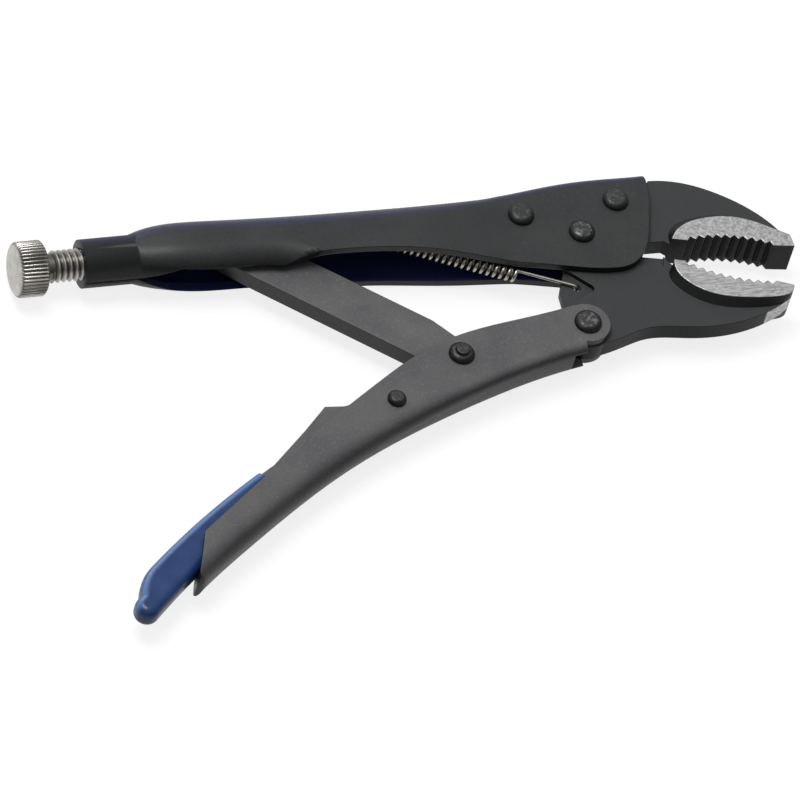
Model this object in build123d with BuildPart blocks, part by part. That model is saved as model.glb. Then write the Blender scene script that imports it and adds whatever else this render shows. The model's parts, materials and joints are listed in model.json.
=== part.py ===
from build123d import *
import math
import os

# Locking pliers lying on one side, jaws towards +X, screw along X, thickness along Z.
# Every outline is drawn from the jaw pivot, on the mid plane of the tool. Sizes in mm.

# Sheet, plates and clearances
sheet = 2.5
jaw_plate = 6.0
jaw_pad = 12.2
link_plate = 6.0
lever_plate = 5.0
plate_clearance = 0.15
pivot_fit = 0.05
rivet_fit = 0.02
head_fit = 0.03
# How far a cut runs past the metal
margin = 10.0

# Widths of the two folded handles
channel = jaw_plate + 2 * plate_clearance
nose_half = channel / 2 + sheet
grip_width = 20.0
grip_half = grip_width / 2
tail_width = 14.4
nose_fold = 4.0
grip_fold = 9.0
web_fold_front = 3.2
web_fold_tail = 6.0
fold_flat = 0.3

# Pivots and rivets, from the jaw pivot
handle_pivot = (-7.3, -33.8)
link_pivot = (-50.0, -41.1)
lever_pivot = (-74.8, -55.7)
rear_rivet = (-17.3, 8.4)
front_rivet = (13.8, 10.6)
link_rest = (-112.0, 9.7)
spring_hook = (-5.4, -17.5)
spring_anchor = (-64.0, 9.6)

# Rivets
rivet_shank = 3.0
rivet_head = 4.0
handle_rivet_head = 4.2
lever_rivet_shank = 2.0
lever_rivet_head = 2.9
head_rim = 0.7
head_height = 1.9
head_flat = 2.2
head_swell = 0.25
step_height = 1.1

# Adjusting screw and knob
screw_line = link_rest[1]
screw_radius = 5.0
thread_pitch = 1.9
thread_depth = 0.9
thread_crest = 0.35
collar_length = 2.2
knob_radius = 8.6
knob_length = 9.6
knob_chamfer = 0.9
knob_spigot = 3.5
spigot_length = 5.8
knob_gap = 0.1
knurl_count = 44
knurl_depth = 0.55
tube_rear = -157.4
tube_length = 16.4
tube_front = tube_rear + tube_length
tube_radius = 7.5
screw_out = 11.7
knob_inner = tube_rear - screw_out
knob_end = knob_inner - knob_length
screw_tip_gap = 1.0
link_nose = 5.5

# Jaws
fixed_tip = (65.3, -12.9)
jaw_ear = 6.8
ear_gap = 0.6
handle_boss = 7.6
tooth_count = 10
tooth_depth = 1.2
hook_tab = 2.5
hook_hole = 1.3
cutter_bevel = 5.2
cutter_land = 3.8

# Lower handle, link and lever
handle_ear = 7.1
web_front = -13.5
link_boss = 6.3
link_half = 7.5
link_offset = 1.6
link_shoulder = 14.0
lever_boss = 4.8
sleeve_start = (-123.7, -75.1)
sleeve_slope = 31.4
tail_bend = 330.0
sleeve_length = 69.0
sleeve_depth = 11.7
sleeve_width = 7.4
sleeve_wall = 1.2
sleeve_round = 2.8
lip_length = 5.7
lip_depth = 3.7
shoulder_run = 11.5
lip_round = (sleeve_depth - lip_depth) / 2
lip_end = sleeve_length - lip_round

# Return spring
spring_wire = 1.1
spring_radius = 2.0
spring_turns = 20
spring_pitch = 2.0
anchor_leg = 5.5
anchor_plate = 2.0
anchor_half = 3.4
anchor_roof = 16.85
hook_bend = 1.3
hook_tail = 1.1


def from_tail(along, down):
    """A point along the lever's bent tail and below its top edge."""
    first = math.radians(sleeve_slope)
    turn = first + along / tail_bend
    return (
        sleeve_start[0] + tail_bend * math.sin(first) - (tail_bend - down) * math.sin(turn),
        sleeve_start[1] - tail_bend * math.cos(first) + (tail_bend - down) * math.cos(turn),
    )


# The box of the tool is centred on the origin, and its flat side lies on z = 0
handle_top = 20.9
lever_tip_drop = lip_round - from_tail(lip_end, sleeve_depth - lip_round)[1]
side = Plane(origin=(-(knob_end + fixed_tip[0]) / 2, (lever_tip_drop - handle_top) / 2, grip_half))
plate_half = jaw_plate / 2
pad_half = jaw_pad / 2
tip_gap_x = link_rest[0] - link_nose - screw_tip_gap

os.makedirs("parts", exist_ok=True)


def place(x, y, z=0):
    """A point of the tool in the part's own frame."""
    return side.from_local_coords((x, y, z))


def cross_plane(x, y, heading):
    """A plane across a channel that runs along the heading, in degrees."""
    turn = math.radians(heading)
    return Plane(
        origin=place(x, y), x_dir=(0, 0, 1), z_dir=(math.cos(turn), math.sin(turn), 0)
    )


def turning_plane(x, y):
    """The upright plane through a pivot in which its round pieces are drawn."""
    return Plane(origin=place(x, y), x_dir=(1, 0, 0), z_dir=(0, -1, 0))


def rounded_section(x, y, heading, half, top, base, fold, inset):
    """A folded channel's section, from its top to its base, measured from (x, y)."""
    corner = min(fold, half - fold_flat) - inset
    with BuildSketch(cross_plane(x, y, heading)) as section:
        with Locations((0, (top + base) / 2)):
            RectangleRounded(2 * (half - inset), top - base - 2 * inset, corner)
    return section.sketch


def write(builder, name):
    """Name a finished piece and write its file."""
    builder.part.label = name
    export_step(builder.part, f"parts/{name}.step")


# Upper handle: folded sheet, a rolled tube behind, a curled grip and a flat-sided nose
nose_tops = [(-22.0, 18.2), (-14.0, 19.1), (-4.0, 20.3), (6.0, handle_top), (28.0, handle_top)]
nose_base = -24.0
nose_rear = nose_tops[0][0]
# Grip sections: share of the way to the tube, share of the full width, top and base
grip_stations = [
    (0.0, 0.0, nose_tops[0][1], nose_base),
    (0.076, 0.31, 17.3, -22.0),
    (0.160, 0.70, 16.9, -19.5),
    (0.252, 0.95, 16.7, -17.0),
    (0.370, 1.02, anchor_roof, -14.0),
    (0.479, 1.02, 17.1, -11.0),
    (0.571, 1.0, 17.4, -5.4),
    (0.655, 0.98, 17.8, -2.7),
    (0.756, 0.94, 18.4, -2.2),
    (0.857, 0.90, 19.0, -1.5),
    (0.933, 0.72, 18.7, 0.2),
]
handle_edge = [
    (-106.0, -5.0),
    (-97.0, -2.4),
    (-88.0, -1.1),
    (-77.0, -0.8),
    (-57.0, -2.3),
    (-31.0, -7.2),
    (-10.6, -11.3),
    (6.0, -14.3),
    (13.0, -13.4),
    (17.4, -9.8),
    (22.3, 1.5),
    (25.4, 15.4),
    (25.2, 22.0),
]
grip_slot = 11.0
seam = 0.5
slot_front = -70.0
slot_taper = tube_front + 13.0


def nose_sections(inset):
    return [
        rounded_section(x, 0, 180, nose_half, top, nose_base, nose_fold, inset)
        for x, top in nose_tops
    ]


def grip_sections(inset):
    sections = []
    for share, widening, top, base in grip_stations:
        x = nose_rear + share * (tube_front - nose_rear)
        half = nose_half + widening * (grip_half - nose_half)
        fold = nose_fold + widening * (grip_fold - nose_fold)
        sections.append(rounded_section(x, 0, 180, half, top, base, fold, inset))
    sections.append(
        rounded_section(
            tube_front, screw_line, 180, tube_radius, tube_radius, -tube_radius, tube_radius, inset
        )
    )
    return sections


with BuildPart() as upper_handle:
    loft(sections=nose_sections(0))
    loft(sections=grip_sections(0))
    loft(sections=nose_sections(sheet), mode=Mode.SUBTRACT)
    loft(sections=grip_sections(sheet), mode=Mode.SUBTRACT)
    with BuildSketch(cross_plane(tube_front, screw_line, 180)):
        Circle(tube_radius)
    extrude(amount=tube_front - tube_rear)
    with BuildSketch(side):
        with BuildLine():
            Spline(*handle_edge)
            Polyline(
                handle_edge[-1],
                (handle_edge[-1][0], handle_top + margin),
                (tube_rear - margin, handle_top + margin),
                (tube_rear - margin, handle_edge[0][1]),
                handle_edge[0],
            )
        make_face()
    extrude(amount=grip_half, both=True, mode=Mode.INTERSECT)
    with BuildSketch(cross_plane(tube_rear - margin, screw_line, 0)):
        Circle(screw_radius + pivot_fit)
    extrude(amount=tube_front - tube_rear + 1.5 * margin, mode=Mode.SUBTRACT)
    with BuildSketch(Plane(origin=place(0, -margin), x_dir=(1, 0, 0), z_dir=(0, 1, 0))):
        Polygon(
            (slot_front, -grip_slot / 2),
            (slot_front, grip_slot / 2),
            (slot_taper, grip_slot / 2),
            (tube_front, seam / 2),
            (tube_rear - margin, seam / 2),
            (tube_rear - margin, -seam / 2),
            (tube_front, -seam / 2),
            (slot_taper, -grip_slot / 2),
            align=None,
        )
    extrude(amount=margin + screw_line, mode=Mode.SUBTRACT)
    with BuildSketch(side):
        with BuildLine():
            Polyline(
                (spring_anchor[0] - anchor_half, anchor_roof - sheet / 2),
                (spring_anchor[0] - anchor_half, spring_anchor[1]),
                (spring_anchor[0], spring_anchor[1] - anchor_half),
                (spring_anchor[0] + anchor_half, spring_anchor[1]),
                (spring_anchor[0] + anchor_half, anchor_roof - sheet / 2),
                close=True,
            )
        make_face()
    extrude(amount=anchor_plate / 2, both=True)
    with BuildSketch(side):
        with Locations(spring_anchor):
            Circle(hook_hole)
    extrude(amount=anchor_plate, both=True, mode=Mode.SUBTRACT)
    with BuildSketch(side):
        with Locations((0, 0), rear_rivet, front_rivet):
            Circle(rivet_shank + rivet_fit)
    extrude(amount=grip_half, both=True, mode=Mode.SUBTRACT)
write(upper_handle, "upper_handle")

# Fixed jaw: a plate held in the nose by two rivets, with a raised gripping pad on each face
ear_clearance = jaw_ear + ear_gap
roof_gap = 1.0
fixed_throat = (27.6, -5.9)
fixed_heel = (32.3, -7.0)
fixed_toe = (58.8, -12.0)
fixed_bite = (46.2, -7.7)
fixed_crown_root = (26.1, 17.4)
fixed_crown_start = (27.1, 18.6)
fixed_crown_end = (65.0, -8.6)
fixed_cutter_rear = (17.5, -4.3)
fixed_cutter_front = (26.0, -4.4)
fixed_tail = 6.0
groove_over = 0.1


def tooth_grooves(bite, inwards):
    """The grooves between the teeth, cut square across the jaw along its bite."""
    half_pitch = bite.length / tooth_count / 2
    with BuildSketch(side) as grooves:
        for index in range(tooth_count):
            share = (index + 0.5) / tooth_count
            middle = bite.position_at(share)
            tangent = bite.tangent_at(share)
            depth = Vector(-tangent.Y, tangent.X) * inwards
            Polygon(
                *[
                    (point.X, point.Y)
                    for point in (
                        middle + tangent * half_pitch - depth * groove_over,
                        middle + depth * tooth_depth,
                        middle - tangent * half_pitch - depth * groove_over,
                    )
                ],
                align=None,
            )
    return grooves.sketch


def fixed_pad(height, back):
    """The outline of the fixed jaw's pad at one height, with its rounded back."""
    with BuildSketch(side.offset(height)) as outline:
        with BuildLine():
            Spline(fixed_throat, *back, fixed_crown_end)
            Polyline(fixed_crown_end, fixed_tip, fixed_toe)
            ThreePointArc(fixed_toe, fixed_bite, fixed_heel)
            Line(fixed_heel, fixed_throat)
        make_face()
    return outline.sketch


fixed_pad_face = [(31.5, -1.7), (39.4, 0.7), (50.4, -0.3), (59.8, -5.2)]
fixed_pad_foot = [(29.6, 0.4), (39.0, 3.4), (51.6, 2.1), (60.8, -3.9)]

with BuildPart() as fixed_jaw:
    with BuildSketch(side):
        with BuildLine():
            Spline(
                fixed_crown_start, (37.2, 16.8), (48.1, 11.2), (57.1, 3.7), (62.8, -3.8), fixed_crown_end
            )
            Polyline(fixed_crown_end, fixed_tip, fixed_toe)
            fixed_bite_line = ThreePointArc(fixed_toe, fixed_bite, fixed_heel)
            pocket = CenterArc((0, 0), ear_clearance, -12, 184)
            Polyline(fixed_heel, fixed_throat, fixed_cutter_front, fixed_cutter_rear, pocket @ 0)
            Polyline(
                pocket @ 1,
                (-13.5, 1.6),
                (rear_rivet[0] - fixed_tail, 3.2),
                (rear_rivet[0] - fixed_tail, 12.6),
                *[(x, top - sheet - roof_gap) for x, top in nose_tops[1:-1]],
                fixed_crown_root,
                fixed_crown_start,
            )
        make_face()
    extrude(amount=plate_half, both=True)
    loft(sections=[fixed_pad(plate_half, fixed_pad_foot), fixed_pad(pad_half, fixed_pad_face)])
    mirror(about=side)
    add(tooth_grooves(fixed_bite_line, -1))
    extrude(amount=pad_half, both=True, mode=Mode.SUBTRACT)
    with BuildSketch(side):
        with Locations(rear_rivet, front_rivet):
            Circle(rivet_shank + rivet_fit)
    extrude(amount=plate_half, both=True, mode=Mode.SUBTRACT)
write(fixed_jaw, "fixed_jaw")

# Moving jaw: a plate on the jaw pivot, with a thinned tab for the spring and its own pad
moving_throat = (26.2, -13.7)
moving_heel = (29.5, -14.6)
moving_bite = (42.5, -21.9)
moving_toe = (56.0, -25.3)
moving_tip = (61.1, -27.4)
cutter_rear = (16.1, -8.4)
cutter_front = (24.2, -10.2)
notch_point = (0.4, -19.7)
notch_upper = (-16.0, -3.0)
notch_lower = (-16.0, -27.4)
notch_round = 1.5
moving_nose = (57.4, -31.5)


def moving_pad(height, back):
    """The outline of the moving jaw's pad at one height, with its rounded back."""
    with BuildSketch(side.offset(height)) as outline:
        with BuildLine():
            Line(moving_throat, moving_heel)
            ThreePointArc(moving_heel, moving_bite, moving_toe)
            Line(moving_toe, moving_tip)
            Spline(moving_tip, *back, moving_throat)
        make_face()
    return outline.sketch


moving_pad_face = [(59.8, -29.8), (54.5, -30.9), (46.0, -30.2), (36.5, -28.0), (29.4, -23.4), (25.9, -17.6)]
moving_pad_foot = [(60.0, -29.8), (55.0, -32.0), (46.5, -32.2), (36.5, -30.3), (28.2, -25.2), (24.1, -17.6)]

with BuildPart() as moving_jaw:
    with BuildSketch(side):
        with BuildLine():
            ear = CenterArc((0, 0), jaw_ear, 185, -220)
            Polyline(ear @ 1, cutter_rear, cutter_front, moving_throat, moving_heel)
            moving_bite_line = ThreePointArc(moving_heel, moving_bite, moving_toe)
            Polyline(moving_toe, moving_tip, (60.2, -29.6), moving_nose)
            boss = CenterArc(handle_pivot, handle_boss, -60, -140)
            Spline(
                moving_nose,
                (46.3, -36.0),
                (37.0, -37.5),
                (26.0, -37.1),
                (12.5, -36.0),
                (4.2, -38.3),
                boss @ 0,
            )
            Polyline(boss @ 1, (-11.4, -24.5), (-11.2, -18.6), (-8.4, -12.0), ear @ 0)
        make_face()
    extrude(amount=plate_half, both=True)
    loft(sections=[moving_pad(plate_half, moving_pad_foot), moving_pad(pad_half, moving_pad_face)])
    mirror(about=side)
    add(tooth_grooves(moving_bite_line, -1))
    extrude(amount=pad_half, both=True, mode=Mode.SUBTRACT)
    cutter_heading = math.atan2(cutter_rear[1] - cutter_front[1], cutter_rear[0] - cutter_front[0])
    bevel_side = plate_half + groove_over
    for face in (1, -1):
        with BuildSketch(cross_plane(*cutter_front, math.degrees(cutter_heading))):
            Polygon(
                (face * cutter_land / 2, 0),
                (face * bevel_side, -cutter_bevel),
                (face * bevel_side, groove_over),
                (face * cutter_land / 2, groove_over),
                align=None,
            )
        extrude(amount=math.dist(cutter_rear, cutter_front), mode=Mode.SUBTRACT)
    for face in (1, -1):
        with BuildSketch(side.offset(face * hook_tab / 2)):
            Polygon(notch_point, notch_upper, notch_lower, align=None)
            fillet(vertices().sort_by(Axis.X)[-1], notch_round)
        extrude(amount=face * plate_half, mode=Mode.SUBTRACT)
    with BuildSketch(side):
        with Locations((0, 0), handle_pivot):
            Circle(rivet_shank + pivot_fit)
        with Locations(spring_hook):
            Circle(hook_hole)
    extrude(amount=plate_half, both=True, mode=Mode.SUBTRACT)
write(moving_jaw, "moving_jaw")

# Lower handle: a folded channel that opens towards the upper handle, with two ears at its front
# Web stations: place, slope, and share of the way from the tight front fold to the round tail
web_line = [
    (6.0, -35.2, 6.0, 0.0),
    (-10.1, -37.8, 9.4, 0.0),
    (-27.2, -41.6, 15.5, 0.0),
    (-50.3, -49.0, 20.4, 0.12),
    (-73.9, -58.4, 24.3, 0.55),
    (-98.3, -70.4, 29.3, 1.0),
    (-123.7, -85.8, 34.0, 1.0),
    (-158.0, -110.1, 36.3, 1.0),
]
inner_edge = [
    (-147.3, -97.8),
    (-123.6, -79.9),
    (-101.6, -63.9),
    (-78.0, -48.2),
    (-63.5, -39.6),
    (-50.0, -34.2),
    (-30.0, -30.3),
    (-9.5, -26.75),
]
tail_foot = (-153.9, -116.2)
tail_bottom = (-143.0, -108.35)
tail_round = 1.5
side_walls = 30.0


def lower_half(x):
    """Half the lower handle's width, which grows faster and faster towards the tail."""
    share = (x - handle_pivot[0]) / (tail_foot[0] - handle_pivot[0])
    return nose_half + share**2 * (tail_width / 2 - nose_half)


def lower_sections(inset):
    sections = []
    for x, y, slope, share in web_line:
        half = lower_half(x)
        fold = web_fold_front + share * (web_fold_tail - web_fold_front)
        sections.append(rounded_section(x, y, 180 + slope, half, side_walls, -half, fold, inset))
    return sections


with BuildPart() as lower_handle:
    loft(sections=lower_sections(0))
    loft(sections=lower_sections(sheet), mode=Mode.SUBTRACT)
    with BuildSketch(side):
        with BuildLine():
            Spline(*inner_edge)
            Polyline(
                inner_edge[-1],
                (inner_edge[-1][0], tail_foot[1]),
                (tail_bottom[0], tail_foot[1]),
                tail_bottom,
                tail_foot,
                inner_edge[0],
            )
        make_face()
        fillet(vertices().sort_by(Axis.X)[0], tail_round)
        with Locations(handle_pivot):
            Circle(handle_ear)
    extrude(amount=grip_half, both=True, mode=Mode.INTERSECT)
    with BuildSketch(side):
        with Locations((web_front, handle_pivot[1])):
            Rectangle(2 * margin, 4 * margin, align=(Align.MIN, Align.CENTER))
    extrude(amount=channel / 2, both=True, mode=Mode.SUBTRACT)
    with BuildSketch(side):
        with Locations(handle_pivot, link_pivot):
            Circle(rivet_shank + rivet_fit)
        with Locations(lever_pivot):
            Circle(lever_rivet_shank + rivet_fit)
    extrude(amount=grip_half, both=True, mode=Mode.SUBTRACT)
write(lower_handle, "lower_handle")

# Toggle link: a bar from the lower handle to the tip of the screw
link_reach = math.hypot(link_rest[0] - link_pivot[0], link_rest[1] - link_pivot[1])
link_plane = Plane(
    origin=place(*link_pivot),
    x_dir=(link_rest[0] - link_pivot[0], link_rest[1] - link_pivot[1], 0),
    z_dir=(0, 0, 1),
)
with BuildPart() as toggle_link:
    with BuildSketch(link_plane):
        Circle(link_boss)
        with Locations((link_shoulder, -link_offset), (link_reach - link_shoulder, -link_offset)):
            Circle(link_half)
        with Locations((link_reach, 0)):
            Circle(link_nose)
        make_hull()
        Circle(rivet_shank + pivot_fit, mode=Mode.SUBTRACT)
    extrude(amount=link_plate / 2, both=True)
write(toggle_link, "toggle_link")

# Release lever: a plate in the lower handle, with a thumb bump and a bent tail
core_root = -6.0
core_top = sleeve_wall
core_foot = sleeve_depth - sleeve_wall
core_length = sleeve_length - lip_length - shoulder_run - sleeve_wall


def tail_strip(start, end, top, foot):
    """A strip of the lever's tail, between two places along it and two depths below its top."""
    middle = (start + end) / 2
    with BuildSketch(side) as strip:
        with BuildLine():
            upper = ThreePointArc(from_tail(start, top), from_tail(middle, top), from_tail(end, top))
            lower = ThreePointArc(from_tail(end, foot), from_tail(middle, foot), from_tail(start, foot))
            Line(upper @ 1, lower @ 0)
            Line(lower @ 1, upper @ 0)
        make_face()
    return strip.sketch


with BuildPart() as release_lever:
    with BuildSketch(side):
        Polygon(
            (-62.5, -46.8),
            (-78.0, -51.6),
            (-90.4, -53.9),
            (-96.4, -53.4),
            (-105.0, -61.6),
            from_tail(core_root, core_top),
            from_tail(core_root, core_foot),
            (-104.0, -70.6),
            (-90.0, -63.2),
            (-80.0, -59.4),
            (-68.0, -54.6),
            (-61.5, -50.0),
            align=None,
        )
        fillet(vertices().sort_by(Axis.X)[-4:], 1.4)
        with Locations(lever_pivot):
            Circle(lever_boss)
            Circle(lever_rivet_shank + pivot_fit, mode=Mode.SUBTRACT)
    extrude(amount=lever_plate / 2, both=True)
    add(tail_strip(core_root, core_length, core_top, core_foot))
    extrude(amount=lever_plate / 2, both=True)
write(release_lever, "release_lever")

# Lever sleeve: a soft coloured cover over the lever's tail, with a blunt lip at its end
shoulder_start = sleeve_length - lip_length - shoulder_run
lip_start = sleeve_length - lip_length
with BuildPart() as lever_sleeve:
    with BuildSketch(side):
        with BuildLine():
            top_line = ThreePointArc(
                from_tail(0, 0), from_tail(shoulder_start / 2, 0), from_tail(shoulder_start, 0)
            )
            shoulder = TangentArc(top_line @ 1, from_tail(lip_start, lip_depth), tangent=top_line % 1)
            lip = ThreePointArc(
                shoulder @ 1, from_tail((lip_start + lip_end) / 2, lip_depth), from_tail(lip_end, lip_depth)
            )
            nose = TangentArc(lip @ 1, from_tail(lip_end, sleeve_depth), tangent=lip % 1)
            foot_line = ThreePointArc(
                nose @ 1, from_tail(lip_end / 2, sleeve_depth), from_tail(0, sleeve_depth)
            )
            Line(foot_line @ 1, top_line @ 0)
        make_face()
    extrude(amount=sleeve_width / 2, both=True)
    fillet(faces().filter_by(Axis.Z).edges().filter_by(GeomType.CIRCLE), sleeve_round)
    add(tail_strip(core_root, core_length + rivet_fit, core_top - rivet_fit, core_foot + rivet_fit))
    extrude(amount=lever_plate / 2 + rivet_fit, both=True, mode=Mode.SUBTRACT)
write(lever_sleeve, "lever_sleeve")


# Rivets: turned shanks with peened heads on both sides
def rivet(x, y, shank, seat, head, step=0.0):
    """A rivet through the tool, symmetrical about the mid plane."""
    crown = seat + head_height
    with BuildPart() as turned:
        with BuildSketch(turning_plane(x, y)):
            with BuildLine():
                rim = Polyline((0, 0), (shank, 0), (shank, seat), (head, seat), (head, seat + head_rim))
                flat = head_flat * head / rivet_head
                dome = SagittaArc(rim @ 1, (flat, crown), -head_swell)
                Polyline(dome @ 1, (0, crown), (0, 0))
            make_face()
        revolve(axis=Axis(place(x, y), (0, 0, 1)))
        if step:
            with BuildSketch(side.offset(crown)):
                with Locations((x, y)):
                    Circle(flat)
            extrude(amount=step)
            fillet(edges().group_by(Axis.Z)[-1], step / 3)
        mirror(about=side)
    return turned


nose_rivets = [
    ("jaw_pivot_rivet", (0, 0)),
    ("fixed_jaw_rivet_rear", rear_rivet),
    ("fixed_jaw_rivet_front", front_rivet),
]
for name, spot in nose_rivets:
    write(rivet(*spot, rivet_shank, nose_half + head_fit, rivet_head), name)

lower_rivets = [
    ("handle_pivot_rivet", handle_pivot, rivet_shank, handle_rivet_head, 0.0),
    ("link_pivot_rivet", link_pivot, rivet_shank, rivet_head, step_height),
    ("lever_pivot_rivet", lever_pivot, lever_rivet_shank, lever_rivet_head, 0.0),
]
for name, spot, shank, head, step in lower_rivets:
    write(rivet(*spot, shank, lower_half(spot[0] - head) + head_fit, head, step), name)

# Adjusting screw: ridged shank in the rolled tube, a plain collar and a spigot for the knob
thread_start = knob_inner + collar_length
root_radius = screw_radius - thread_depth
spigot_end = knob_inner - spigot_length
ridges = int((tip_gap_x - thread_start) / thread_pitch)
screw_profile = [(spigot_end, 0), (spigot_end, knob_spigot), (knob_inner, knob_spigot)]
screw_profile += [(knob_inner, root_radius), (thread_start, root_radius)]
for index in range(ridges):
    foot = thread_start + index * thread_pitch
    middle = foot + thread_pitch / 2
    screw_profile.append((middle - thread_crest / 2, screw_radius))
    screw_profile.append((middle + thread_crest / 2, screw_radius))
    screw_profile.append((foot + thread_pitch, root_radius))
screw_profile += [(tip_gap_x, root_radius), (tip_gap_x, 0)]
screw_plane = Plane(origin=place(0, screw_line))
screw_axis = Axis(place(0, screw_line), (1, 0, 0))
with BuildPart() as adjusting_screw:
    with BuildSketch(screw_plane):
        Polygon(*screw_profile, align=None)
    revolve(axis=screw_axis)
write(adjusting_screw, "adjusting_screw")

# Adjusting knob: straight knurl between two chamfers, bored for the spigot
with BuildPart() as adjusting_knob:
    with BuildSketch(cross_plane(knob_inner - knob_gap, screw_line, 180)):
        knurl = []
        for index in range(2 * knurl_count):
            reach = knob_radius - knurl_depth * (index % 2)
            turn = math.pi * index / knurl_count
            knurl.append((reach * math.cos(turn), reach * math.sin(turn)))
        Polygon(*knurl, align=None)
    extrude(amount=knob_length - knob_gap)
    with BuildSketch(screw_plane):
        face = knob_inner - knob_gap
        Polygon(
            (knob_end, 0),
            (knob_end, knob_radius - 2 * knob_chamfer),
            (knob_end + knob_chamfer, knob_radius),
            (face - knob_chamfer, knob_radius),
            (face, knob_radius - knob_chamfer),
            (face, knob_spigot + pivot_fit),
            (spigot_end - knob_gap, knob_spigot + pivot_fit),
            (spigot_end - knob_gap, 0),
            align=None,
        )
    revolve(axis=screw_axis, mode=Mode.INTERSECT)
write(adjusting_knob, "adjusting_knob")

# Return spring: close coils between the lug in the upper handle and the tab of the moving jaw
anchor_point = place(*spring_anchor)
hook_point = place(*spring_hook)
spring_run = hook_point - anchor_point
along = spring_run.normalized()
up = Vector(0, 0, 1)
across = up.cross(along)
coil_start = anchor_point + along * anchor_leg
leg_height = up * spring_radius
lead = 2.2


def coil_point(turn):
    angle = 2 * math.pi * turn
    radial = up * math.cos(angle) + across * math.sin(angle)
    return coil_start + along * (spring_pitch * turn) + radial * spring_radius


def coil_heading(turn):
    angle = 2 * math.pi * turn
    round_way = across * math.cos(angle) - up * math.sin(angle)
    return (along * spring_pitch + round_way * (2 * math.pi * spring_radius)).normalized()


def biarc(start, start_way, end, end_way):
    """Two arcs, tangent to each other and to the ways given at both ends."""
    gap = end - start
    ways = start_way + end_way
    spread = 2 * (1 - start_way.dot(end_way))
    reach = 2 * gap.dot(ways)
    arm = (-reach + math.sqrt(reach * reach + 4 * spread * gap.dot(gap))) / (2 * spread)
    first = start + start_way * arm
    second = end - end_way * arm
    middle = (first + second) * 0.5
    TangentArc(start, middle, tangent=start_way)
    TangentArc(middle, end, tangent=(second - first).normalized())


with BuildPart() as return_spring:
    with BuildLine() as wire:
        tail = anchor_point - up * (anchor_plate / 2 + hook_tail)
        rise = anchor_point + leg_height - up * hook_bend
        Line(tail, rise)
        leg = anchor_point + along * hook_bend + leg_height
        TangentArc(rise, leg, tangent=up)
        leg_end = coil_start + leg_height - along * (lead - spring_pitch / 4)
        Line(leg, leg_end)
        biarc(leg_end, along, coil_point(0.25), coil_heading(0.25))
        for half_turn in range(2 * spring_turns - 1):
            begin = 0.25 + half_turn / 2
            biarc(
                coil_point(begin), coil_heading(begin), coil_point(begin + 0.5), coil_heading(begin + 0.5)
            )
        last = spring_turns - 0.25
        leg_start = coil_start + leg_height + along * (spring_pitch * last + lead)
        biarc(coil_point(last), coil_heading(last), leg_start, along)
        leg = hook_point + leg_height - along * hook_bend
        Line(leg_start, leg)
        drop = hook_point + leg_height - up * hook_bend
        TangentArc(leg, drop, tangent=along)
        Line(drop, hook_point - up * (hook_tab / 2 + hook_tail))
    with BuildSketch(Plane(origin=tail, z_dir=up)):
        Circle(spring_wire / 2)
    sweep(path=wire.wire())
write(return_spring, "return_spring")

wire_length = wire.wire().length
sample_step = 0.4
samples = int(wire_length / sample_step)
points = [wire.wire().position_at(index / samples) for index in range(samples + 1)]
apart = int(3 * spring_wire / sample_step)
nearest = min(
    (points[i] - points[j]).length for i in range(samples + 1) for j in range(i + apart, samples + 1)
)
print("spring: least gap between turns", round(nearest - spring_wire, 2), "mm")
print("spring: volume", round(return_spring.part.volume, 1), "mm3, section times length",
      round(math.pi * spring_wire**2 / 4 * wire_length, 1), "mm3")
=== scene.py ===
import json
import math

import bmesh
import bpy
from mathutils import Matrix, Vector


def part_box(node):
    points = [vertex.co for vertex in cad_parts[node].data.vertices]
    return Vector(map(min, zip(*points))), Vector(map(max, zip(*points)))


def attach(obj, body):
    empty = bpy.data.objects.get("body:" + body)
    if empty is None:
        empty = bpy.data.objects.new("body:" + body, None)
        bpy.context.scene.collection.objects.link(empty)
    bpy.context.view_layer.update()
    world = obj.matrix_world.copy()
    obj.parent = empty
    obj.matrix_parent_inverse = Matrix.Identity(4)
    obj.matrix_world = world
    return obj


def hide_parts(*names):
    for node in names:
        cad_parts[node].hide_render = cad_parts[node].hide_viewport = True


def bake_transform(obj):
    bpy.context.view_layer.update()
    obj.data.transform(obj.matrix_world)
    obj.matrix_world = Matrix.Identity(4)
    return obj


bl_info = {
    "name": "Locking Pliers",
    "version": (1, 1, 0),
    "blender": (4, 5, 0),
    "location": "View3D > Sidebar > Pliers",
    "description": "Finishes, thread, spring and stage for a pair of locking pliers",
    "category": "Object",
}

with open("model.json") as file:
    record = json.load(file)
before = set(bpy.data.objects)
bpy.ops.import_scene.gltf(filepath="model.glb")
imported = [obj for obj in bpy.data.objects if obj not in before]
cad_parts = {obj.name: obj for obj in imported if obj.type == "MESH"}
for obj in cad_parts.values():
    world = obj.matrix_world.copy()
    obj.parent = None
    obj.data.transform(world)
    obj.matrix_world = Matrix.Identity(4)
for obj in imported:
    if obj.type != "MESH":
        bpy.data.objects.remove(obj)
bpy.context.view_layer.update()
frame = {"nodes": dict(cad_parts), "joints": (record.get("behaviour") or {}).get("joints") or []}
nodes = frame["nodes"]
mm = 0.001
pivots = {joint["name"]: Vector(joint["pos_m"]) for joint in frame["joints"] if "pos_m" in joint}
jaw_pivot = pivots["jaw_pivot"]
screw_axis = pivots["knob_turn"]
# A face whose normal is this much along the tool's thickness lies level
level_share = 0.99999


def at(x, y, z=0.0):
    """A point given in millimetres from the jaw pivot, in the frame's metres."""
    return jaw_pivot + Vector((x, y, z)) * mm


def linear(code):
    """An sRGB hex colour as linear red, green, blue and alpha."""
    shares = [int(code[start : start + 2], 16) / 255 for start in (1, 3, 5)]
    return [c / 12.92 if c <= 0.04045 else ((c + 0.055) / 1.055) ** 2.4 for c in shares] + [1.0]


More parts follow.
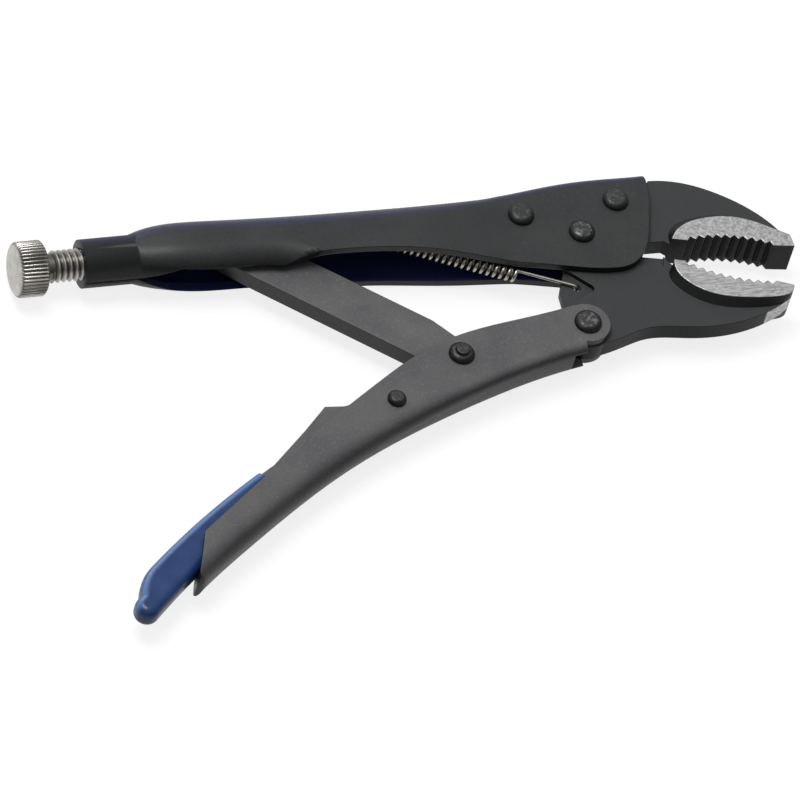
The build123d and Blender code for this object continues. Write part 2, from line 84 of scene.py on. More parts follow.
def colour(name, description, code):
    return bpy.props.FloatVectorProperty(
        name=name, description=description, subtype="COLOR", size=4, min=0, max=1, default=linear(code)
    )


def length(name, description, millimetres):
    return bpy.props.FloatProperty(
        name=name, description=description, unit="LENGTH", subtype="DISTANCE", default=millimetres * mm
    )


class FinishSettings(bpy.types.PropertyGroup):
    enamel: colour("Enamel", "Baked black enamel on the folded and stamped steel", "#2a2b2c")
    enamel_thin: colour("Enamel, thin", "The enamel where it lies thin over the grain", "#3c3d3d")
    forged: colour("Forged enamel", "Enamel on the forged jaws, greyer than on the sheet", "#363738")
    # A lighter enamel for the lower handle, the link and the lever
    worn: colour("Lighter enamel", "Enamel of the lower handle, the link and the lever", "#47474a")
    lighter_thin: colour("Lighter enamel, thin", "That enamel in its thin patches", "#6b6864")
    # Painted shade: faces that are not level are darkened towards this colour
    rim: colour("Painted side shade", "Painted shade on the folds and cut sides", "#0d0e0f")
    # Painted shade with a painted blue reflection, inside the upper handle's channel
    shade: colour("Painted shade inside", "Painted blue shade inside the upper handle", "#1c2148")
    # Painted reflection: a dark blue tint on the faces turned towards the back
    painted_blue_reflection: colour("Navy", "Painted blue reflection over the spine of the upper handle", "#2a2c55")
    ground: colour("Ground steel", "Ground faces of the gripping pads", "#c6c5c5")
    ground_dark: colour("Ground steel, dark", "Hollows and scratches of the ground faces", "#77777a")
    crown: colour("Crown", "Rivet crowns, rubbed bare by the hammer", "#7c7d7e")
    plate: colour("Plate", "Bright plating on the screw and its knob", "#bdbab4")
    plate_dull: colour("Plate, dull", "Cloudy patches of the plating", "#8d8b88")
    groove_darkening: colour("Groove darkening", "Darker towards the bottom of the grooves of the knurl and the thread", "#2b2928")
    wire: colour("Wire", "Drawn spring wire", "#b4b0a6")
    vinyl: colour("Vinyl", "Dipped sleeve on the release lever", "#142f5b")
    vinyl_pale: colour("Vinyl, pale", "The vinyl where its skin is thicker", "#1a386a")
    # Painted highlight along the sleeve's upper edge
    painted_vinyl_highlight: colour("Vinyl, painted highlight", "Painted highlight along the sleeve's upper edge", "#6485b4")
    edge: length("Edge", "Rounding of the stamped edges", 0.45)


class ScrewSettings(bpy.types.PropertyGroup):
    pitch: length("Pitch", "Distance from one thread to the next", 1.9)
    crest_radius: length("Crest radius", "Radius over the crests of the thread", 5.0)
    root_radius: length("Root radius", "Radius at the bottom of the thread", 4.1)
    crest: length("Crest", "Width of the flat on each crest", 0.35)
    collar: length("Collar", "Plain shank between the knob and the thread", 2.2)
    knob_chamfer: length("Knob chamfer", "Chamfer on both ends of the knurl", 0.9)
    knurl_depth: length("Knurl depth", "Depth of the grooves of the knurl", 0.6)
    knurls: bpy.props.IntProperty(name="Knurls", description="Ridges round the knob", default=44, min=12)


class SpringSettings(bpy.types.PropertyGroup):
    wire: length("Wire", "Thickness of the spring wire", 1.1)
    radius: length("Radius", "Radius of the coils at the middle of the wire", 2.0)
    pitch: length("Pitch", "Distance from one coil to the next", 2.0)
    coils: bpy.props.IntProperty(name="Coils", description="Turns of the spring", default=20, min=4)
    leg: length("Leg", "Straight wire between the anchor and the first coil", 5.5)


class StageSettings(bpy.types.PropertyGroup):
    floor: colour("Floor", "Plain pale floor", "#f8f8f8")
    bounce: colour("Bounce", "The floor as the tool's lower faces see it", "#707070")
    distance: bpy.props.FloatProperty(
        name="Distance", description="From the camera to the tool", unit="LENGTH", default=8.0
    )
    frame_width: bpy.props.FloatProperty(
        name="Frame width", description="Width of the picture at the tool", unit="LENGTH", default=0.24242
    )


def add_node(tree, kind, inputs=None, output=0, **settings):
    """Add a node with its settings, link or set its inputs, and give one of its outputs."""
    made = tree.nodes.new(kind)
    for name, value in settings.items():
        setattr(made, name, value)
    for name, value in (inputs or {}).items():
        if isinstance(value, bpy.types.NodeSocket):
            tree.links.new(value, made.inputs[name])
        else:
            made.inputs[name].default_value = value
    return made.outputs[output] if made.outputs else made


def new_material(name):
    """A material with an empty tree, and the piece's own coordinates in it."""
    material = bpy.data.materials.new(name)
    material.use_nodes = True
    material.node_tree.nodes.clear()
    return material, material.node_tree, add_node(material.node_tree, "ShaderNodeTexCoord", output="Object")


def surface(tree, inputs):
    """End a material's tree in one shader."""
    shader = add_node(tree, "ShaderNodeBsdfPrincipled", inputs)
    add_node(tree, "ShaderNodeOutputMaterial", {"Surface": shader})


def height_off_middle(tree, place):
    """How far a place lies from the mid plane of the tool, up or down."""
    height = add_node(tree, "ShaderNodeSeparateXYZ", {0: place}, "Z")
    return add_node(tree, "ShaderNodeMath", {0: height, 1: jaw_pivot.z}, operation="SUBTRACT")


def enamel_layer(tree, place, thick, thin):
    """Baked enamel over stamped steel: its colour, roughness and eased, pebbled normal."""
    finish = bpy.context.scene.pliers_finish
    # Orange peel of 0.7 mm, and thin patches some 14 mm across
    grain = add_node(tree, "ShaderNodeTexNoise", {"Vector": place, "Scale": 1 / (0.7 * mm), "Detail": 3.0})
    cloud = add_node(tree, "ShaderNodeTexNoise", {"Vector": place, "Scale": 1 / (14 * mm)})
    patch = add_node(
        tree, "ShaderNodeMapRange", {"Value": cloud, "From Min": 0.35, "From Max": 0.7, "To Max": 0.3}
    )
    tone = add_node(tree, "ShaderNodeMix", {0: patch, 6: thick, 7: thin}, 2, data_type="RGBA")
    speck = add_node(
        tree, "ShaderNodeMapRange", {"Value": grain, "From Min": 0.55, "From Max": 0.75, "To Max": 0.5}
    )
    tone = add_node(tree, "ShaderNodeMix", {0: speck, 6: tone, 7: thin}, 2, data_type="RGBA")
    # Painted shade: faces that are not level, such as folds, cut sides, tooth faces and rivet rims, are
    # darkened towards the rim colour
    facing = add_node(tree, "ShaderNodeTexCoord", output="Normal")
    upwards = add_node(tree, "ShaderNodeSeparateXYZ", {0: facing}, "Z")
    flat = add_node(tree, "ShaderNodeMath", {0: upwards}, operation="ABSOLUTE")
    sides = add_node(
        tree, "ShaderNodeMapRange", {"Value": flat, "From Min": 0.92, "From Max": 0.45, "To Max": 0.93}
    )
    tone = add_node(tree, "ShaderNodeMix", {0: sides, 6: tone, 7: finish.rim}, 2, data_type="RGBA")
    rough = add_node(
        tree,
        "ShaderNodeMapRange",
        {"Value": grain, "From Min": 0.3, "From Max": 0.7, "To Min": 0.34, "To Max": 0.48},
    )
    eased = add_node(tree, "ShaderNodeBevel", {"Radius": finish.edge}, samples=8)
    normal = add_node(
        tree, "ShaderNodeBump", {"Height": grain, "Strength": 0.3, "Distance": 0.08 * mm, "Normal": eased}
    )
    return tone, rough, normal, eased


def lighter_enamel():
    """Baked enamel on stamped steel: charcoal black, satin, lightly pebbled, in a lighter tone."""
    finish = bpy.context.scene.pliers_finish
    material, tree, place = new_material("lighter_enamel")
    tone, rough, normal, _ = enamel_layer(tree, place, finish.worn, finish.lighter_thin)
    surface(tree, {"Base Color": tone, "Roughness": rough, "Normal": normal, "Specular IOR Level": 0.4})
    return material


def channel_enamel():
    """The same enamel on the upper handle, with a painted dark blue reflection over its spine and painted
    blue shade inside.
    """
    finish = bpy.context.scene.pliers_finish
    material, tree, place = new_material("channel_enamel")
    tone, rough, normal, _ = enamel_layer(tree, place, finish.enamel, finish.enamel_thin)
    facing = add_node(tree, "ShaderNodeTexCoord", output="Normal")
    upwards = add_node(tree, "ShaderNodeSeparateXYZ", {0: facing}, "Z")
    backwards = add_node(tree, "ShaderNodeSeparateXYZ", {0: facing}, "Y")
    # Painted reflection: faces turned towards the back are tinted dark blue
    reflection_mask = add_node(
        tree, "ShaderNodeMapRange", {"Value": backwards, "From Min": 0.04, "From Max": 0.4, "To Max": 0.4}
    )
    tone = add_node(tree, "ShaderNodeMix", {0: reflection_mask, 6: tone, 7: finish.painted_blue_reflection}, 2, data_type="RGBA")
    # Painted shade and painted blue reflection: faces inside the channel, turned towards the mid plane, are
    # darkened and tinted blue
    off = height_off_middle(tree, place)
    outwards = add_node(tree, "ShaderNodeMath", {0: off, 1: upwards}, operation="MULTIPLY")
    inside_shade = add_node(
        tree, "ShaderNodeMapRange", {"Value": outwards, "From Min": -1.2 * mm, "From Max": -2.4 * mm}
    )
    tone = add_node(tree, "ShaderNodeMix", {0: inside_shade, 6: tone, 7: finish.shade}, 2, data_type="RGBA")
    surface(tree, {"Base Color": tone, "Roughness": rough, "Normal": normal, "Specular IOR Level": 0.25})
    return material


def jaw_steel(name, pad_face, stretch, tip):
    """A forged jaw: enamelled, its pads' outer faces and its tip ground back to bright steel."""
    finish = bpy.context.scene.pliers_finish
    material, tree, place = new_material(name)
    tone, rough, normal, eased = enamel_layer(tree, place, finish.forged, finish.enamel_thin)
    off = height_off_middle(tree, place)
    reach = add_node(tree, "ShaderNodeMath", {0: off}, operation="ABSOLUTE")
    pad = add_node(
        tree,
        "ShaderNodeMapRange",
        {"Value": reach, "From Min": pad_face - 0.22 * mm, "From Max": pad_face - 0.06 * mm},
    )
    facing = add_node(tree, "ShaderNodeTexCoord", output="Normal")
    forwards = add_node(tree, "ShaderNodeSeparateXYZ", {0: facing}, "X")
    along = add_node(tree, "ShaderNodeSeparateXYZ", {0: place}, "X")
    front = add_node(tree, "ShaderNodeMapRange", {"Value": forwards, "From Min": 0.28, "From Max": 0.36})
    beyond = add_node(
        tree, "ShaderNodeMapRange", {"Value": along, "From Min": tip - 0.3 * mm, "From Max": tip + 0.3 * mm}
    )
    inside = add_node(
        tree,
        "ShaderNodeMapRange",
        {"Value": reach, "From Min": pad_face / 2 + 0.1 * mm, "From Max": pad_face / 2 - 0.1 * mm},
    )
    facet = add_node(tree, "ShaderNodeMath", {0: front, 1: beyond}, operation="MULTIPLY")
    facet = add_node(tree, "ShaderNodeMath", {0: facet, 1: inside}, operation="MULTIPLY")
    bright = add_node(tree, "ShaderNodeMath", {0: pad, 1: facet}, operation="MAXIMUM")
    # Scratches of the grinding wheel, about 0.5 mm apart, and pits some 1.2 mm across
    combed = add_node(tree, "ShaderNodeMapping", {"Vector": place, "Scale": stretch})
    scratch = add_node(
        tree,
        "ShaderNodeTexNoise",
        {"Vector": combed, "Scale": 1 / (0.5 * mm), "Detail": 4.0, "Roughness": 0.65},
    )
    pits = add_node(tree, "ShaderNodeTexNoise", {"Vector": place, "Scale": 1 / (1.2 * mm), "Detail": 3.0})
    worn = add_node(
        tree, "ShaderNodeMapRange", {"Value": scratch, "From Min": 0.36, "From Max": 0.64, "To Max": 0.75}
    )
    metal = add_node(
        tree, "ShaderNodeMix", {0: worn, 6: finish.ground, 7: finish.ground_dark}, 2, data_type="RGBA"
    )
    pitted = add_node(
        tree, "ShaderNodeMapRange", {"Value": pits, "From Min": 0.54, "From Max": 0.72, "To Max": 0.6}
    )
    metal = add_node(
        tree, "ShaderNodeMix", {0: pitted, 6: metal, 7: finish.ground_dark}, 2, data_type="RGBA"
    )
    polish = add_node(
        tree,
        "ShaderNodeMapRange",
        {"Value": scratch, "From Min": 0.3, "From Max": 0.7, "To Min": 0.42, "To Max": 0.6},
    )
    scored = add_node(
        tree, "ShaderNodeBump", {"Height": scratch, "Strength": 0.4, "Distance": 0.08 * mm, "Normal": eased}
    )
    shares = {
        "Base Color": add_node(tree, "ShaderNodeMix", {0: bright, 6: tone, 7: metal}, 2, data_type="RGBA"),
        "Roughness": add_node(tree, "ShaderNodeMix", {0: bright, 2: rough, 3: polish}, data_type="FLOAT"),
        "Normal": add_node(tree, "ShaderNodeMix", {0: bright, 4: normal, 5: scored}, 1, data_type="VECTOR"),
        "Metallic": bright,
        "Specular IOR Level": 0.15,
    }
    surface(tree, shares)
    return material


def bright_plate(name, tint, size, root=0.0, crest=0.0):
    """Zinc plating on turned steel: silvery, with faint turning marks, darker towards the bottom of its
    grooves.
    """
    finish = bpy.context.scene.pliers_finish
    material, tree, place = new_material(name)
    rings = add_node(tree, "ShaderNodeMapping", {"Vector": place, "Scale": (1.0, 0.15, 0.15)})
    marks = add_node(tree, "ShaderNodeTexNoise", {"Vector": rings, "Scale": 1 / size})
    cloud = add_node(tree, "ShaderNodeTexNoise", {"Vector": place, "Scale": 1 / (3 * mm)})
    dull = add_node(
        tree, "ShaderNodeMapRange", {"Value": cloud, "From Min": 0.35, "From Max": 0.7, "To Max": 0.5}
    )
    tone = add_node(tree, "ShaderNodeMix", {0: dull, 6: tint, 7: finish.plate_dull}, 2, data_type="RGBA")
    if crest > root:
        spoke = add_node(tree, "ShaderNodeVectorMath", {0: place, 1: screw_axis}, operation="SUBTRACT")
        spoke = add_node(
            tree, "ShaderNodeVectorMath", {0: spoke, 1: (0.0, 1.0, 1.0)}, operation="MULTIPLY"
        )
        reach = add_node(tree, "ShaderNodeVectorMath", {0: spoke}, "Value", operation="LENGTH")
        # Darker towards the bottom of the grooves of the thread and the knurl
        deep = add_node(
            tree,
            "ShaderNodeMapRange",
            {"Value": reach, "From Min": crest, "From Max": root, "To Max": 0.75},
        )
        facing = add_node(tree, "ShaderNodeTexCoord", output="Normal")
        endwards = add_node(tree, "ShaderNodeSeparateXYZ", {0: facing}, "X")
        endwards = add_node(tree, "ShaderNodeMath", {0: endwards}, operation="ABSOLUTE")
        # The plain end faces are not darkened
        round_about = add_node(
            tree, "ShaderNodeMapRange", {"Value": endwards, "From Min": 0.9, "From Max": 0.8}
        )
        deep = add_node(tree, "ShaderNodeMath", {0: deep, 1: round_about}, operation="MULTIPLY")
        tone = add_node(tree, "ShaderNodeMix", {0: deep, 6: tone, 7: finish.groove_darkening}, 2, data_type="RGBA")
    rough = add_node(
        tree,
        "ShaderNodeMapRange",
        {"Value": marks, "From Min": 0.3, "From Max": 0.7, "To Min": 0.26, "To Max": 0.4},
    )
    normal = add_node(tree, "ShaderNodeBump", {"Height": marks, "Strength": 0.2, "Distance": 0.04 * mm})
    surface(tree, {"Base Color": tone, "Roughness": rough, "Normal": normal, "Metallic": 1.0})
    return material


def dipped_vinyl():
    """Vinyl dipped over the lever's tail: deep blue, soft gloss, slightly uneven skin, with a painted
    highlight along its upper edge.
    """
    finish = bpy.context.scene.pliers_finish
    material, tree, place = new_material("dipped_vinyl")
    skin = add_node(tree, "ShaderNodeTexNoise", {"Vector": place, "Scale": 1 / (6 * mm)})
    fine = add_node(tree, "ShaderNodeTexNoise", {"Vector": place, "Scale": 1 / (0.6 * mm)})
    thick = add_node(
        tree, "ShaderNodeMapRange", {"Value": skin, "From Min": 0.35, "From Max": 0.7, "To Max": 0.6}
    )
    tone = add_node(
        tree, "ShaderNodeMix", {0: thick, 6: finish.vinyl, 7: finish.vinyl_pale}, 2, data_type="RGBA"
    )
    # Square to the tail's slope, up out of its top edge
    facing = add_node(tree, "ShaderNodeTexCoord", output="Normal")
    rise = add_node(
        tree, "ShaderNodeVectorMath", {0: facing, 1: (-0.6, 0.8, 0.0)}, "Value", operation="DOT_PRODUCT"
    )
    # Painted highlight: a pale stripe on the faces that round over the sleeve's upper edge
    begins = add_node(
        tree, "ShaderNodeMapRange", {"Value": rise, "From Min": 0.05, "From Max": 0.5, "To Max": 0.7}
    )
    ends = add_node(tree, "ShaderNodeMapRange", {"Value": rise, "From Min": 0.85, "From Max": 0.55})
    highlight_stripe = add_node(tree, "ShaderNodeMath", {0: begins, 1: ends}, operation="MULTIPLY")
    tone = add_node(tree, "ShaderNodeMix", {0: highlight_stripe, 6: tone, 7: finish.painted_vinyl_highlight}, 2, data_type="RGBA")
    rough = add_node(
        tree,
        "ShaderNodeMapRange",
        {"Value": skin, "From Min": 0.3, "From Max": 0.7, "To Min": 0.28, "To Max": 0.38},
    )
    normal = add_node(tree, "ShaderNodeBump", {"Height": fine, "Strength": 0.15, "Distance": 0.05 * mm})
    surface(tree, {"Base Color": tone, "Roughness": rough, "Normal": normal, "Specular IOR Level": 0.35})
    return material


def peened_steel(name, bare):
    """Rivet heads: enamel darkened on their sloping rims as painted shade, the crowns dented by the hammer
    and rubbed bare in places.
    """
    finish = bpy.context.scene.pliers_finish
    material, tree, place = new_material(name)
    tone, rough, _, eased = enamel_layer(tree, place, finish.enamel, finish.enamel_thin)
    # Hammer marks about 1 mm across
    dents = add_node(tree, "ShaderNodeTexNoise", {"Vector": place, "Scale": 1 / (1.0 * mm), "Detail": 1.0})
    facing = add_node(tree, "ShaderNodeTexCoord", output="Normal")
    upwards = add_node(tree, "ShaderNodeSeparateXYZ", {0: facing}, "Z")
    flat = add_node(tree, "ShaderNodeMath", {0: upwards}, operation="ABSOLUTE")
    # Painted shade: the sloping rim of each head is darkened, and only its level crown keeps the enamel's
    # tone
    crown = add_node(tree, "ShaderNodeMapRange", {"Value": flat, "From Min": 0.86, "From Max": 0.985})
    tone = add_node(tree, "ShaderNodeMix", {0: crown, 6: finish.rim, 7: tone}, 2, data_type="RGBA")
    spots = add_node(
        tree, "ShaderNodeMapRange", {"Value": dents, "From Min": 0.52, "From Max": 0.66, "To Max": bare}
    )
    rubbed = add_node(tree, "ShaderNodeMath", {0: crown, 1: spots}, operation="MULTIPLY")
    tone = add_node(tree, "ShaderNodeMix", {0: rubbed, 6: tone, 7: finish.crown}, 2, data_type="RGBA")
    normal = add_node(
        tree, "ShaderNodeBump", {"Height": dents, "Strength": 0.4, "Distance": 0.25 * mm, "Normal": eased}
    )
    shares = {"Base Color": tone, "Roughness": rough, "Normal": normal, "Metallic": rubbed}
    surface(tree, {**shares, "Specular IOR Level": 0.3})
    return material


def merged(name, body, material, sharp=28.0, level=True):
    """A CAD node's loose triangles as one smooth mesh, its level faces kept flat, that rides on a body."""
    shell = bmesh.new()
    shell.from_mesh(nodes[name].data)
    shell.transform(nodes[name].matrix_world)
    bmesh.ops.remove_doubles(shell, verts=shell.verts, dist=0.001 * mm)
    mesh = bpy.data.meshes.new(f"{name}_finished")
    shell.to_mesh(mesh)
    shell.free()
    mesh.shade_smooth()
    mesh.set_sharp_from_angle(angle=math.radians(sharp))
    for face in mesh.polygons:
        face.use_smooth = not level or abs(face.normal.z) < level_share
    piece(f"{name}_finished", mesh, material, body, name)


def piece(name, mesh, material, body, *replaced):
    """A finished mesh as a piece that rides on a body and stands for CAD nodes."""
    mesh.materials.clear()
    mesh.materials.append(material)
    made = bpy.data.objects.new(name, mesh)
    bpy.context.scene.collection.objects.link(made)
    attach(made, body)
    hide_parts(*replaced)
    return made


def skinned(name, rings, sharp=40.0):
    """A closed mesh through rings of points, each ring as long as the others."""
    shell = bmesh.new()
    rows = [[shell.verts.new(point) for point in ring] for ring in rings]
    for first, second in zip(rows, rows[1:]):
        for index in range(len(first)):
            after = (index + 1) % len(first)
            shell.faces.new((first[index], first[after], second[after], second[index]))
    shell.faces.new(rows[0])
    shell.faces.new(rows[-1])
    bmesh.ops.remove_doubles(shell, verts=shell.verts, dist=0.002 * mm)
    bmesh.ops.dissolve_degenerate(shell, edges=shell.edges, dist=0.002 * mm)
    bmesh.ops.recalc_face_normals(shell, faces=shell.faces)
    mesh = bpy.data.meshes.new(name)
    shell.to_mesh(mesh)
    shell.free()
    mesh.shade_smooth()
    mesh.set_sharp_from_angle(angle=math.radians(sharp))
    return mesh


class PLIERS_OT_plates(bpy.types.Operator):
    """Enamel the two handles, the link and the lever"""

    bl_idname = "pliers.plates"
    bl_label = "Handles, link and lever"

    def execute(self, context):
        enamel = lighter_enamel()
        # Its flat nose runs smoothly into the grip, so nothing on it is kept flat
        merged("upper_handle", "upper", channel_enamel(), level=False)
        for name, body in (("lower_handle", "lower"), ("toggle_link", "link"), ("release_lever", "lever")):
            merged(name, body, enamel)
        return {"FINISHED"}


class PLIERS_OT_jaws(bpy.types.Operator):
    """Enamel the jaws and grind the faces of their pads"""

    bl_idname = "pliers.jaws"
    bl_label = "Jaws"

    def execute(self, context):
        pad_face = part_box("fixed_jaw")[1].z - jaw_pivot.z
        # The wheel ran across the fixed pad and along the moving one
        fixed = jaw_steel("ground_fixed_jaw", pad_face, (0.5, 0.5, 1.0), at(70, 0).x)
        moving = jaw_steel("ground_moving_jaw", pad_face, (0.12, 1.0, 1.0), at(51, 0).x)
        merged("fixed_jaw", "upper", fixed, 11.0)
        merged("moving_jaw", "jaw", moving, 11.0)
        return {"FINISHED"}


class PLIERS_OT_sleeve(bpy.types.Operator):
    """Give the lever's sleeve its blue vinyl"""

    bl_idname = "pliers.sleeve"
    bl_label = "Sleeve"

    def execute(self, context):
        merged("lever_sleeve", "lever", dipped_vinyl(), 35.0)
        return {"FINISHED"}


class PLIERS_OT_rivets(bpy.types.Operator):
    """Finish the peened heads of the rivets"""

    bl_idname = "pliers.rivets"
    bl_label = "Rivets"

    rubbed = ("handle_pivot_rivet", "jaw_pivot_rivet")
    lower = ("handle_pivot_rivet", "link_pivot_rivet", "lever_pivot_rivet")

    def execute(self, context):
        plain = peened_steel("peened_steel", 0.2)
        bare = peened_steel("peened_bare_steel", 0.75)
        for name in [name for name in nodes if name.endswith("_rivet") or "_rivet_" in name]:
            body = "lower" if name in self.lower else "upper"
            merged(name, body, bare if name in self.rubbed else plain, 35.0)
        return {"FINISHED"}


class PLIERS_OT_screw(bpy.types.Operator):
    """Cut a real thread on the adjusting screw"""

    bl_idname = "pliers.screw"
    bl_label = "Adjusting screw"

    steps = 48

    def execute(self, context):
        sizes = context.scene.pliers_screw
        knob_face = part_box("adjusting_knob")[1].x
        start, end = knob_face + sizes.collar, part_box("adjusting_screw")[1].x
        half = (sizes.pitch - sizes.crest) / 2
        form = (
            (0.0, sizes.root_radius),
            (half, sizes.crest_radius),
            (half + sizes.crest, sizes.crest_radius),
        )
        rings = [self.ring(knob_face - 2 * mm, sizes.root_radius)]
        turns = int((end - start) / sizes.pitch) + 2
        for turn in range(turns):
            for offset, radius in form:
                rings.append(self.helix(start + (turn - 1) * sizes.pitch + offset, radius, start, end))
        rings.append(self.ring(end, sizes.root_radius))
        mesh = skinned("threaded_shank", rings, 30.0)
        finish = context.scene.pliers_finish
        material = bright_plate("zinc_plate", finish.plate, 0.4 * mm, sizes.root_radius, sizes.crest_radius)
        piece("threaded_shank", mesh, material, "screw", "adjusting_screw")
        return {"FINISHED"}

    def point(self, x, radius, angle):
        return Vector((x, screw_axis.y + radius * math.cos(angle), screw_axis.z + radius * math.sin(angle)))

    def ring(self, x, radius):
        return [self.point(x, radius, math.tau * step / self.steps) for step in range(self.steps)]

    def helix(self, x, radius, start, end):
        """One line of the thread, once round, held flat where it would run off the shank."""
        root = bpy.context.scene.pliers_screw.root_radius
        pitch = bpy.context.scene.pliers_screw.pitch
        line = []
        for step in range(self.steps):
            here = x + pitch * step / self.steps
            held = min(max(here, start), end)
            line.append(self.point(held, radius if held == here else root, math.tau * step / self.steps))
        return line


class PLIERS_OT_knob(bpy.types.Operator):
    """Knurl the adjusting knob"""

    bl_idname = "pliers.knob"
    bl_label = "Adjusting knob"

    def execute(self, context):
        sizes = context.scene.pliers_screw
        low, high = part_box("adjusting_knob")
        radius = (high.y - low.y) / 2
        chamfer = sizes.knob_chamfer
        # The outline from the shank side to the crowned end face
        outline = [
            (high.x, 0.3 * radius),
            (high.x, radius - 1.6 * chamfer),
            (high.x - 0.25 * chamfer, radius - chamfer),
            (high.x - chamfer, radius),
            (low.x + 1.5 * chamfer, radius),
            (low.x + 0.75 * chamfer, radius - 0.55 * chamfer),
            (low.x + 0.3 * chamfer, radius - 1.3 * chamfer),
            (low.x + 0.1 * chamfer, radius - 2.2 * chamfer),
            (low.x, 0.3 * radius),
        ]
        rings = [self.ring(x, reach, radius, sizes) for x, reach in outline]
        mesh = skinned("knurled_knob", rings, 38.0)
        finish = context.scene.pliers_finish
        root = radius - sizes.knurl_depth
        material = bright_plate("zinc_plate_knob", finish.plate, 0.5 * mm, root, radius)
        piece("knurled_knob", mesh, material, "knob", "adjusting_knob")
        return {"FINISHED"}

    def ring(self, x, reach, radius, sizes):
        """One ring of the knob, cut back where a groove of the knurl is deeper."""
        points = []
        steps = 8
        for index in range(sizes.knurls * steps):
            wave = abs(2 * (index % steps) / steps - 1)
            groove = radius - sizes.knurl_depth * min(1.0, max(0.0, 1.5 * wave - 0.25))
            angle = math.tau * index / (sizes.knurls * steps)
            out = min(reach, groove)
            points.append(
                Vector((x, screw_axis.y + out * math.cos(angle), screw_axis.z + out * math.sin(angle)))
            )
        return points


class PLIERS_OT_spring(bpy.types.Operator):
    """Wind the return spring between the upper handle and the moving jaw"""

    bl_idname = "pliers.spring"
    bl_label = "Return spring"

    anchor = at(-64.0, 9.6)
    hook = at(-5.4, -17.5)
    # Wire below the lug and below the jaw's tab, and a length at each end of the wire
    lug_tail, tab_tail = 2.1 * mm, 2.35 * mm
    held = 4 * mm

    def execute(self, context):
        sizes = context.scene.pliers_spring
        path = self.path(sizes)
        mesh = bpy.data.meshes.new("spring_path")
        mesh.from_pydata(path, [(index, index + 1) for index in range(len(path) - 1)], [])
        guide = bpy.data.objects.new("spring_path", mesh)
        context.scene.collection.objects.link(guide)
        finish = context.scene.pliers_finish
        material = bright_plate("drawn_wire", finish.wire, 0.3 * mm)
        tree = self.wire_tree()
        modifier = guide.modifiers.new("wire", "NODES")
        modifier.node_group = tree
        sockets = tree.interface.items_tree
        modifier[sockets["Radius"].identifier] = sizes.wire / 2
        modifier[sockets["Material"].identifier] = material
        drawn = bpy.data.meshes.new_from_object(guide.evaluated_get(context.evaluated_depsgraph_get()))
        bpy.data.objects.remove(guide)
        drawn.shade_smooth()
        wound = bpy.data.objects.new("wound_spring", drawn)
        context.scene.collection.objects.link(wound)
        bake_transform(wound)
        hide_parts("return_spring")
        return {"FINISHED"}

    def path(self, sizes):
        """The middle line of the wire, from the tail in the lug to the tail in the jaw."""
        up = Vector((0, 0, 1))
        along = (self.hook - self.anchor).normalized()
        across = up.cross(along)
        lift = up * sizes.radius
        bend = 1.3 * mm
        steps = 28
        points = [self.anchor - up * self.lug_tail]
        points += self.corner(self.anchor + lift, -up, along, bend)
        start = self.anchor + along * sizes.leg
        for index in range(sizes.coils * steps + 1):
            turn = index / steps
            angle = math.tau * turn
            radial = up * math.cos(angle) + across * math.sin(angle)
            points.append(start + along * sizes.pitch * turn + radial * sizes.radius)
        points += self.corner(self.hook + lift, -along, -up, bend)
        points.append(self.hook - up * self.tab_tail)
        return points

    def corner(self, tip, before, after, bend):
        """A rounded turn of the wire about a corner, coming along one way and leaving along another."""
        centre = tip + (before + after) * bend
        return [
            centre - after * bend * math.cos(turn) - before * bend * math.sin(turn)
            for turn in (math.pi / 2 * step / 6 for step in range(7))
        ]

    def wire_tree(self):
        """Draws round wire along a path of edges."""
        tree = bpy.data.node_groups.new("drawn_wire", "GeometryNodeTree")
        tree.interface.new_socket("Path", in_out="INPUT", socket_type="NodeSocketGeometry")
        tree.interface.new_socket("Radius", in_out="INPUT", socket_type="NodeSocketFloat")
        tree.interface.new_socket("Material", in_out="INPUT", socket_type="NodeSocketMaterial")
        tree.interface.new_socket("Wire", in_out="OUTPUT", socket_type="NodeSocketGeometry")
        given = tree.nodes.new("NodeGroupInput").outputs
        line = add_node(tree, "GeometryNodeMeshToCurve", {"Mesh": given["Path"]})
        section = add_node(
            tree, "GeometryNodeCurvePrimitiveCircle", {"Resolution": 12, "Radius": given["Radius"]}
        )
        drawn = add_node(
            tree,
            "GeometryNodeCurveToMesh",
            {"Curve": line, "Profile Curve": section, "Fill Caps": True},
        )
        whole = add_node(tree, "GeometryNodeRealizeInstances", {"Geometry": drawn})
        coated = add_node(
            tree, "GeometryNodeSetMaterial", {"Geometry": whole, "Material": given["Material"]}
        )
        add_node(tree, "NodeGroupOutput", {0: coated})
        return tree


